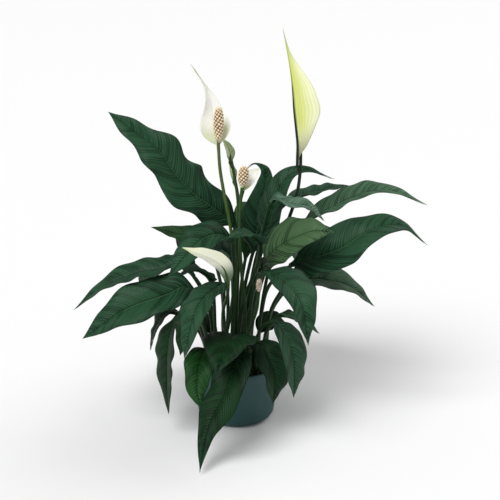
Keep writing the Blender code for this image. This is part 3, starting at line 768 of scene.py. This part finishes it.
@dataclass(frozen=True)
class Sheet:
    """How a blade's surface is laid through its rings."""

    rows: int = 76
    halves: tuple[float, ...] = (0.0, 0.03, 0.065, 0.12, 0.20, 0.30, 0.42, 0.55, 0.68, 0.80, 0.91, 1.0)
    thickness: float = 0.0006
    wave: float = 0.0016
    waves: float = 4.5
    cockle: float = 0.0009
    groove: float = 0.0007
    ripple: float = 0.0

    def lay(self, rings: Array, tip: Array, seed: float) -> tuple[bpy.types.Object, Array, Array, Array]:
        """Make the blade.

        Args:
            rings: the solid's rings along the blade.
            tip: the blade's tip.
            seed: a number that sets its waves.

        Returns:
            The sheet, then along its midrib the places, the up directions and the distances.
        """
        lines = np.concatenate([rings, np.repeat(tip[None, None], SIDES, axis=1)])
        far = lengths(lines[:, 2])
        knots = far / far[-1]
        at = 1 - (1 - np.linspace(0.0, 1.0, self.rows)) ** TIP_CROWDING
        fine = spline(knots, lines, at)
        fine[-1] = tip
        s = np.array([-h for h in reversed(self.halves[1:])] + list(self.halves))
        h = abs(s)[:, None]
        weights = ((h - TOP_CREST) * (h - 1) / TOP_CREST, h * (h - 1) / (TOP_CREST * (TOP_CREST - 1)),
                   h * (h - TOP_CREST) / (1 - TOP_CREST))
        left = (s >= 0)[:, None]
        middle, crest_l, crest_r = fine[:, None, 2], fine[:, None, 1], fine[:, None, 3]
        edge_l, edge_r = fine[:, None, 0], fine[:, None, 4]
        places = (weights[0] * middle + weights[1] * np.where(left, crest_l, crest_r)
                  + weights[2] * np.where(left, edge_l, edge_r))
        along = unit(np.gradient(fine[:, 2], axis=0))
        across = unit(fine[:, 0] - fine[:, 4] + TINY * np.ones(3))
        normals = unit(np.cross(along, across))
        normals[-1] = normals[-2]
        half = np.linalg.norm(fine[:, 0] - fine[:, 4], axis=1) / 2
        full = np.clip(half / half.max(), 0.0, 1.0)
        shift = self._relief(at, s, seed, far[-1], half) * full[:, None]
        outward = self.ripple * (half * np.sin(math.tau * self.waves * RIPPLE_PACE * at + seed))[:, None]
        outward = outward * s * abs(s)
        places = places + shift[..., None] * normals[:, None] + outward[..., None] * across[:, None]
        places[-1] = tip
        grid_s, grid_t = np.meshgrid(s, at)
        reach = grid_t * far[-1]
        out = abs(grid_s) * half[:, None]
        veins = (reach - VEIN_SLANT * out - VEIN_BEND * out * abs(grid_s)) / VEIN_UNIT
        maps = {"Blade": np.stack([grid_s / 2 + 0.5, grid_t], axis=-1),
                "Veins": np.stack([veins, grid_s + seed], axis=-1)}
        made = laid_grid(places, maps, normals[self.rows // 2])
        return made, fine[:, 2], normals, at * far[-1]

    def _relief(self, at: Array, s: Array, seed: float, length: float, half: Array) -> Array:
        """Return how far each point is lifted: waves at the edges, cockles, and a groove on the midrib."""
        bend = np.sin(math.tau * (self.waves * at + 0.12 * np.sin(9 * at + seed)) + seed)[:, None]
        sway = 0.15 * np.sin(7 * at - seed)
        other = np.sin(math.tau * (self.waves * 0.83 * at + sway) + 2 * seed)[:, None]
        edge = np.where(s >= 0, bend, other) * self.wave * abs(s) ** 2.4
        cockle = np.array([[noise.noise(Vector((t * length * 38, c * w * 60, seed * 7.3))) for c in s]
                           for t, w in zip(at, half)]) * self.cockle * 2
        groove = self.groove * np.exp(-(s / GROOVE_WIDTH) ** 2) * (1 - 0.7 * at[:, None])
        return edge + cockle * abs(s) ** 0.7 - groove


# ---------------- leaves
@dataclass(frozen=True)
class Look:
    """How one leaf differs from the others."""

    tone: Tone = Tone.TEAL
    wave: float = 0.0016
    waves: float = 4.5
    ripple: float = 0.06


# the near-black tone paints shade on the leaves that lie inside and under the plant
LOOKS: dict[str, Look] = {
    "leaf_upper_left": Look(Tone.TEAL, 0.0034, 6.0, 0.13),
    "leaf_left_small": Look(Tone.GREEN),
    "leaf_left_long": Look(Tone.TEAL, 0.0016, 5.5),
    "leaf_left_low": Look(Tone.TEAL, 0.0022, 4.0),
    "leaf_left_hidden": Look(Tone.DEEP),
    "leaf_left_hanging": Look(Tone.DEEP),
    "leaf_front_arch": Look(Tone.DEEP, 0.0022, 3.5),
    "leaf_front_long": Look(Tone.DEEP, 0.0018, 4.0),
    "leaf_front_low": Look(Tone.GREEN),
    "leaf_front_right_dark": Look(Tone.DEEP),
    "leaf_front_left_hidden": Look(Tone.DEEP),
    "leaf_right_small": Look(Tone.FRESH),
    "leaf_right_low": Look(Tone.FRESH),
    "leaf_right_big": Look(Tone.TEAL, 0.0020, 5.0),
    "leaf_right_striped": Look(Tone.STRIPED),
    "leaf_right_long": Look(Tone.FRESH, 0.0014, 5.0),
    "leaf_right_curled": Look(Tone.GREY),
    "leaf_middle_tall": Look(Tone.TEAL, 0.0018, 4.0),
    "leaf_middle_hooked": Look(Tone.TEAL, 0.0020, 3.0),
    "leaf_middle_inner_left": Look(Tone.DEEP),
    "leaf_middle_inner_right": Look(Tone.DEEP),
    "leaf_inner_back_left": Look(Tone.DEEP),
    "leaf_inner_back_right": Look(Tone.DEEP),
    "leaf_back_left_low": Look(Tone.DEEP),
    "leaf_back_right_low": Look(Tone.GREEN),
    "leaf_back_upright": Look(Tone.GREEN),
}


def seed_of(name: str) -> float:
    """Return a number from 0 to 6 that goes with a name."""
    return (sum((k + 3) * ord(c) for k, c in enumerate(name)) % 600) / 100


class Foliage(Maker):
    """All leaves, each one piece with its petiole."""

    def build(self) -> list[bpy.types.Object]:
        """Make every leaf."""
        return [self._leaf(node) for node in sorted(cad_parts) if node.startswith("leaf_")]

    def _leaf(self, node: str) -> bpy.types.Object:
        """Make one leaf in the place of its solid."""
        look = LOOKS.get(node, Look())
        rings, tip = Rings(node).loft()
        blade = rings[-BLADE_RINGS:]
        sheet = Sheet(wave=look.wave, waves=look.waves, ripple=look.ripple)
        made, midrib, ups, reach = sheet.lay(blade, tip, seed_of(node))
        adopt(made, node + "_blade", [self.paints.get(look.tone), self.paints.get(look.tone, reverse=True)])
        made = thicken(made, sheet.thickness)
        stem = self._stem(rings[:-BLADE_RINGS + 1], midrib, ups, reach / reach[-1])
        made = unite(made, [stem])
        made.data.shade_smooth()
        return stand_for(made, node)

    def _stem(self, petiole: Array, midrib: Array, ups: Array, share: Array) -> bpy.types.Object:
        """Make the petiole and the rib that it carries on as, below the blade.

        Args:
            petiole: the solid's rings up to the blade's base.
            midrib: points along the blade's midrib.
            ups: the up directions there.
            share: how far along the blade they are, from 0 to 1.

        Returns:
            The stem's object.
        """
        middles = petiole.mean(axis=1)
        radii = np.linalg.norm(petiole - middles[:, None], axis=2).mean(axis=1)
        far = lengths(middles)
        at = np.linspace(0.0, far[-1], max(12, int(far[-1] / 0.006)))
        low = spline(far, middles, at)
        low_radii = spline(far, radii, at)
        keep = slice(2, -3, 2)
        rib_radii = radii[-1] * (1 - share[keep]) ** 1.2 * 0.92 + 0.00025
        rib = midrib[keep] - ups[keep] * (rib_radii + Sheet.groove + 0.0003)[:, None]
        return tube(np.concatenate([low[:-1], rib]), np.concatenate([low_radii[:-1], rib_radii]),
                    self.paints.get(Plain.PETIOLE))


# ---------------- flowers
WHITE = SpatheFinish("spathe_white", (0.640, 0.690, 0.500), (0.960, 0.960, 0.900), (0.260, 0.340, 0.110),
                     (0.930, 0.930, 0.860), (0.700, 0.740, 0.520), back=0.12, tip_from=0.52)
SMALL_WHITE = SpatheFinish("spathe_small_white", (0.480, 0.560, 0.280), (0.880, 0.880, 0.800),
                           (0.700, 0.740, 0.500), (0.790, 0.800, 0.720), (0.560, 0.620, 0.360))
PALE = SpatheFinish("spathe_pale_green", (0.180, 0.270, 0.100), (0.500, 0.560, 0.340), (0.540, 0.600, 0.380),
                    (0.360, 0.430, 0.240), (0.180, 0.260, 0.100), back=0.35)
# the cream spathe's dark grey-green base, reaching almost half way, is partly its green back and partly
# painted shade
CREAM = SpatheFinish("spathe_cream", (0.100, 0.150, 0.080), (0.930, 0.940, 0.800), (0.860, 0.900, 0.480),
                     (0.860, 0.880, 0.640), (0.500, 0.560, 0.300), back=0.16, base_to=0.46)
# painted shade: the lime spathe's near-black midrib is the shade of its fold, where one half turns back
LIME = SpatheFinish("spathe_lime", (0.340, 0.350, 0.200), (0.900, 0.930, 0.600), (0.300, 0.360, 0.110),
                    (0.600, 0.670, 0.130), (0.040, 0.070, 0.024), back=0.30, tip_from=0.66, folded=True)


@dataclass(frozen=True)
class Bloom:
    """One flower: its spathe's finish, the name of a material slot, and the finishes and sizes of its other
    pieces.
    """

    name: str
    spathe: SpatheFinish | None
    slot: str
    cone: Plain = Plain.SPADIX
    bead: float = 0.00140
    stem: Plain = Plain.STALK
    rib_reach: float = 0.35


BLOOMS: tuple[Bloom, ...] = (
    Bloom("flower_tall_white", WHITE, "spathe_white", bead=0.00175, stem=Plain.STALK_OLIVE),
    Bloom("flower_small_white", SMALL_WHITE, "spathe_white", bead=0.0017),
    Bloom("flower_pale_green", PALE, "spathe_pale_green", bead=0.0009),
    Bloom("flower_bud", PALE, "spathe_pale_green"),
    Bloom("flower_left_cream", CREAM, "spathe_white", bead=0.0011),
    Bloom("flower_tall_green", LIME, "spathe_green", bead=0.0011, stem=Plain.STALK_DARK,
          rib_reach=0.60),
    Bloom("flower_faded", None, "", Plain.FADED, bead=0.0010),
)


class Flowers(Maker):
    """All flowers, each with a stalk and most with a spathe and a spadix."""

    SHEET = Sheet(rows=64, thickness=0.0007, wave=0.0007, waves=3.0, cockle=0.0005, groove=0.0004)
    FOOT_RADIUS = 0.060      # no stalk stands further out than this
    FOOT_LIFT = 0.0006       # above the soil, over a stalk's foot and under all else of it

    def build(self) -> list[bpy.types.Object]:
        """Make every flower's pieces."""
        made = []
        for bloom in BLOOMS:
            made.append(self._stalk(bloom))
            if bloom.spathe:
                made.append(self._spathe(bloom))
            if bloom.name + "_spadix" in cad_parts:
                made.append(self._spadix(bloom))
        return made

    def _stalk(self, bloom: Bloom) -> bpy.types.Object:
        """Make a stalk, and the rib that it sends up the back of its spathe."""
        node = bloom.name + "_stalk"
        middles, radii = Rings(node).stem(self.FOOT_RADIUS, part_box("soil")[1].z + self.FOOT_LIFT)
        far = lengths(middles)
        at = np.linspace(0.0, far[-1], int(far[-1] / 0.005))
        line, girth = spline(far, middles, at), spline(far, radii, at)
        made = tube(line, girth, self.paints.get(bloom.stem))
        if bloom.spathe:
            made = unite(made, [self._back_rib(bloom, line, float(girth[-1]))])
        return stand_for(made, node)

    def _back_rib(self, bloom: Bloom, stalk: Array, girth: float) -> bpy.types.Object:
        """Make the rib that leaves the stalk just below the spathe and thins out on the spathe's back.

        Args:
            bloom: the flower.
            stalk: the stalk's middle line.
            girth: the stalk's radius at its top.

        Returns:
            The rib's object.
        """
        rings, tip = Rings(bloom.name + "_spathe").loft()
        keel = np.concatenate([rings[:, KEEL], tip[None]])
        far = lengths(keel)
        at = np.linspace(0.0, far[-1] * bloom.rib_reach, 24)
        back = unit(rings[:, KEEL] - rings[:, CREST])
        back = spline(far[:-1], back, np.minimum(at, far[-2]))
        radii = girth * (1 - at / (at[-1] * 1.04)) ** 0.8 * 0.85 + 0.0002
        line = spline(far, keel, at) + back * (radii * 0.25)[:, None]
        below = np.linalg.norm(stalk - line[0], axis=1)
        start = stalk[max(0, int(below.argmin()) - 2)]
        return tube(np.concatenate([start[None], line]), np.concatenate([[girth * 0.95], radii]),
                    self.paints.get(bloom.stem))

    def _spathe(self, bloom: Bloom) -> bpy.types.Object:
        """Make a spathe, its face towards the spadix."""
        node = bloom.name + "_spathe"
        rings, tip = Rings(node).loft()
        made = self.SHEET.lay(rings, tip, seed_of(node))[0]
        adopt(made, node, [self.paints.get(bloom.spathe), self.paints.get(bloom.spathe, reverse=True)])
        made = thicken(made, self.SHEET.thickness)
        made.data.shade_smooth()
        return stand_for(made, node)

    def _spadix(self, bloom: Bloom) -> bpy.types.Object:
        """Make a spadix: a core with rounded beads on it, set in a spiral."""
        node = bloom.name + "_spadix"
        spots = Rings(node).points
        middle = spots.mean(axis=0)
        axis = np.linalg.svd(spots - middle, full_matrices=False)[2][0]
        axis = axis if axis[2] > 0 else -axis
        reach = (spots - middle) @ axis
        low, high = reach.min(), reach.max()
        girth = np.linalg.norm(spots - middle - reach[:, None] * axis, axis=1).max()
        bpy.ops.mesh.primitive_ico_sphere_add(subdivisions=4, radius=1.0)
        core = bpy.context.active_object
        turn = Vector((0, 0, 1)).rotation_difference(Vector(axis)).to_matrix()
        centre = Vector(middle + axis * (low + high) / 2)
        girth_in, half = girth - bloom.bead * 0.75, (high - low) / 2 - bloom.bead * 0.5
        for v in core.data.vertices:
            z = math.copysign(abs(v.co.z) ** 0.8, v.co.z)
            v.co = centre + turn @ Vector((v.co.x * girth_in, v.co.y * girth_in, z * half))
        # the core's dark brown is painted shade between the beads
        finish = Plain.SPADIX_CORE if bloom.cone is Plain.SPADIX else bloom.cone
        adopt(core, node, [self.paints.get(finish)])
        beads = self._beads(bloom, centre, turn, girth_in, half)
        return stand_for(unite(core, [beads]), node)

    def _beads(self, bloom: Bloom, centre: Vector, turn: Matrix, girth: float,
               half: float) -> bpy.types.Object:
        """Make the beads on a core.

        Args:
            bloom: the flower.
            centre: the core's middle.
            turn: the core's turn from upright.
            girth: the core's radius.
            half: half its length.

        Returns:
            One object with all beads.
        """
        points, faces = ball(2)
        size = bloom.bead
        count = int(2 * math.pi * girth * 2 * half * 0.93 / (math.pi * size * size) * BEAD_COVER)
        golden = math.pi * (3 - math.sqrt(5))
        spots = []
        for k in range(count):
            z = -1 + 2 * (k + 0.5) / count
            ring = math.sqrt(max(0.0, 1 - abs(z) ** 2.5))
            out = Vector((ring * math.cos(k * golden), ring * math.sin(k * golden), 0.0))
            normal = (out + Vector((0, 0, z ** 3))).normalized()
            place = Vector((out.x * girth, out.y * girth, z * half))
            frame_turn = Vector((0, 0, 1)).rotation_difference(normal).to_matrix()
            grow = size * (0.92 + 0.14 * noise.noise(place * 700))
            shape = points * np.array([grow, grow, grow * 0.8])
            local = shape @ np.array(frame_turn).T + np.array(place)
            spots.append(local @ np.array(turn).T + np.array(centre))
        return strewn("beads", spots, faces, self.paints.get(bloom.cone))


# ---------------- pot and soil
class Holder(Maker):
    """The planter, the nursery pot and the soil."""

    SOIL_ROWS = 40           # rings of points on the soil
    SOIL_COLUMNS = 121       # points in each, the last on the first
    CRUMBS = 700

    def build(self) -> list[bpy.types.Object]:
        """Make the three pieces."""
        return [self._turned("planter", Plain.PLANTER, "planter_teal"),
                self._turned("nursery_pot", Plain.NURSERY, "nursery_black"), self._soil()]

    def _profile(self, node: str) -> list[tuple[float, float]]:
        """Return a turned solid's profile from inside to outside, read from its mesh on one side."""
        reader = Rings(node)
        spots = reader.points
        turned = np.degrees(np.arctan2(spots[:, 1], spots[:, 0]))
        reach = np.hypot(spots[:, 0], spots[:, 1])
        on_line = {i for i in range(len(spots)) if reach[i] > TINY and abs(turned[i]) < 0.01}
        ends = [i for i in on_line if len(reader.near[i] & on_line) == 1]
        chain = [max(ends, key=lambda i: spots[i, 2])]
        while True:
            ahead = [n for n in reader.near[chain[-1]] & on_line if n not in chain]
            if not ahead:
                break
            chain.append(min(ahead, key=lambda n: float(np.linalg.norm(spots[n] - spots[chain[-1]]))))
        profile = [(float(reach[i]), float(spots[i, 2])) for i in chain]
        return [(0.0, profile[0][1]), *profile, (0.0, profile[-1][1])]

    def _turned(self, node: str, finish: Plain, slot: str) -> bpy.types.Object:
        """Make a fine turned piece from a solid's own profile, its edges slightly rounded."""
        profile = self._profile(node)
        mesh = bpy.data.meshes.new(node)
        edges = [(k, k + 1) for k in range(len(profile) - 1)]
        mesh.from_pydata([(r, 0.0, z) for r, z in profile], edges, [])
        made = bpy.data.objects.new(node, mesh)
        bpy.context.collection.objects.link(made)
        screw = made.modifiers.new("Turn", "SCREW")
        screw.steps = screw.render_steps = 128
        screw.use_merge_vertices = True
        screw.merge_threshold = 0.00001
        bevel = made.modifiers.new("Ease", "BEVEL")
        bevel.width = 0.0005
        bevel.segments = 3
        bevel.angle_limit = math.radians(25)
        made = settle(made)
        activate(made)
        bpy.ops.object.mode_set(mode="EDIT")
        bpy.ops.mesh.select_all(action="SELECT")
        bpy.ops.mesh.normals_make_consistent(inside=False)
        bpy.ops.object.mode_set(mode="OBJECT")
        adopt(made, node + "_look", [self.paints.get(finish)])
        made.data.set_sharp_from_angle(angle=math.radians(50))
        return stand_for(made, node)

    def _soil(self) -> bpy.types.Object:
        """Make the soil: an uneven surface with crumbs on it."""
        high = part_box("soil")[1]
        radius = high.x
        top = high.z
        rim = radius - 0.0006
        turns = np.linspace(0, math.tau, self.SOIL_COLUMNS)
        reach = np.linspace(0.0, rim, self.SOIL_ROWS)
        places = np.empty((self.SOIL_ROWS, self.SOIL_COLUMNS, 3))
        for i, r in enumerate(reach):
            for j, a in enumerate(turns):
                x, y = r * math.cos(a), r * math.sin(a)
                rough = (noise.noise(Vector((x, y, 0)) * 90) * 0.0009
                         + noise.noise(Vector((x, y, 3)) * 330) * 0.0005)
                places[i, j] = (x, y, top - 0.0004 - 0.0022 * (r / rim) ** 6 + min(rough, 0.0008))
        surface = laid_grid(places, {}, np.array((0.0, 0.0, 1.0)))
        adopt(surface, "soil_top", [self.paints.get(Plain.SOIL)])
        return stand_for(unite(surface, [self._crumbs(radius, top)]), "soil")

    def _crumbs(self, radius: float, top: float) -> bpy.types.Object:
        """Make the crumbs that lie on the soil.

        Args:
            radius: the soil's radius.
            top: the height of its surface.

        Returns:
            One object with all crumbs.
        """
        points, faces = ball(1)
        rng = np.random.default_rng(7)
        spots = []
        for _ in range(self.CRUMBS):
            r = (radius - 0.003) * math.sqrt(rng.random())
            a = rng.random() * math.tau
            size = 0.0006 + 0.0011 * rng.random() ** 2
            shape = points * size * (0.7 + 0.6 * rng.random((len(points), 1))) * np.array([1.2, 1.0, 0.7])
            spots.append(shape + np.array([r * math.cos(a), r * math.sin(a), top - 0.0002]))
        return strewn("crumbs", spots, faces, self.paints.get(Plain.CRUMB))


# ---------------- studio
@dataclass(frozen=True)
class Lamp:
    """One far and wide light."""

    name: str
    side: tuple[float, float, float]
    spread: float
    strength: float


@dataclass(frozen=True)
class Studio:
    """The floor, the lights and the camera."""

    lamps: tuple[Lamp, ...] = (
        Lamp("key", (-0.50, -0.75, 1.05), 36.0, 2.60),
        Lamp("back", (0.80, 0.55, 0.90), 50.0, 0.95),
    )
    sky: float = 0.34
    camera_place: tuple[float, float, float] = (0.021, -1.300, 0.634)
    camera_dip: float = 16.2
    lens: float = 67.68
    floor_colour: Colour = (0.86, 0.86, 0.86)
    floor_size: float = 120.0

    def build(self) -> None:
        """Make the floor, the lights, the sky and the camera."""
        bpy.ops.mesh.primitive_plane_add(size=self.floor_size)
        floor = bpy.context.active_object
        floor.name = "floor"
        g = Graph("floor_white")
        floor.data.materials.append(g.close({"Base Color": self.floor_colour, "Roughness": 0.9}))
        world = bpy.data.worlds.new("sky")
        world.use_nodes = True
        back = world.node_tree.nodes["Background"]
        back.inputs["Color"].default_value = (1.0, 1.0, 1.0, 1.0)
        back.inputs["Strength"].default_value = self.sky
        bpy.context.scene.world = world
        for lamp in self.lamps:
            bpy.ops.object.light_add(type="SUN", location=lamp.side)
            made = bpy.context.active_object
            made.name = lamp.name
            made.data.energy = lamp.strength
            made.data.angle = math.radians(lamp.spread)
            made.rotation_euler = Vector(lamp.side).to_track_quat("Z", "Y").to_euler()
        lens = bpy.data.cameras.new("camera")
        lens.sensor_width = 36.0
        lens.lens = self.lens
        made = bpy.data.objects.new("camera", lens)
        made.location = self.camera_place
        made.rotation_euler = (math.pi / 2 - math.radians(self.camera_dip), 0.0, 0.0)
        bpy.context.collection.objects.link(made)
        bpy.context.scene.camera = made
        bpy.context.scene.view_settings.view_transform = "Standard"


def main() -> None:
    """Build the plant and its studio, and log the number of faces of each piece."""
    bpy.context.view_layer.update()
    paints = Paints()
    for maker in (Holder(paints), Foliage(paints), Flowers(paints)):
        for piece in maker.build():
            log.info("%s: %d faces", piece.name, len(piece.data.polygons))
    Studio().build()
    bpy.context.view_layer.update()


if __name__ == "__main__":
    logging.basicConfig(level=logging.INFO)
    main()
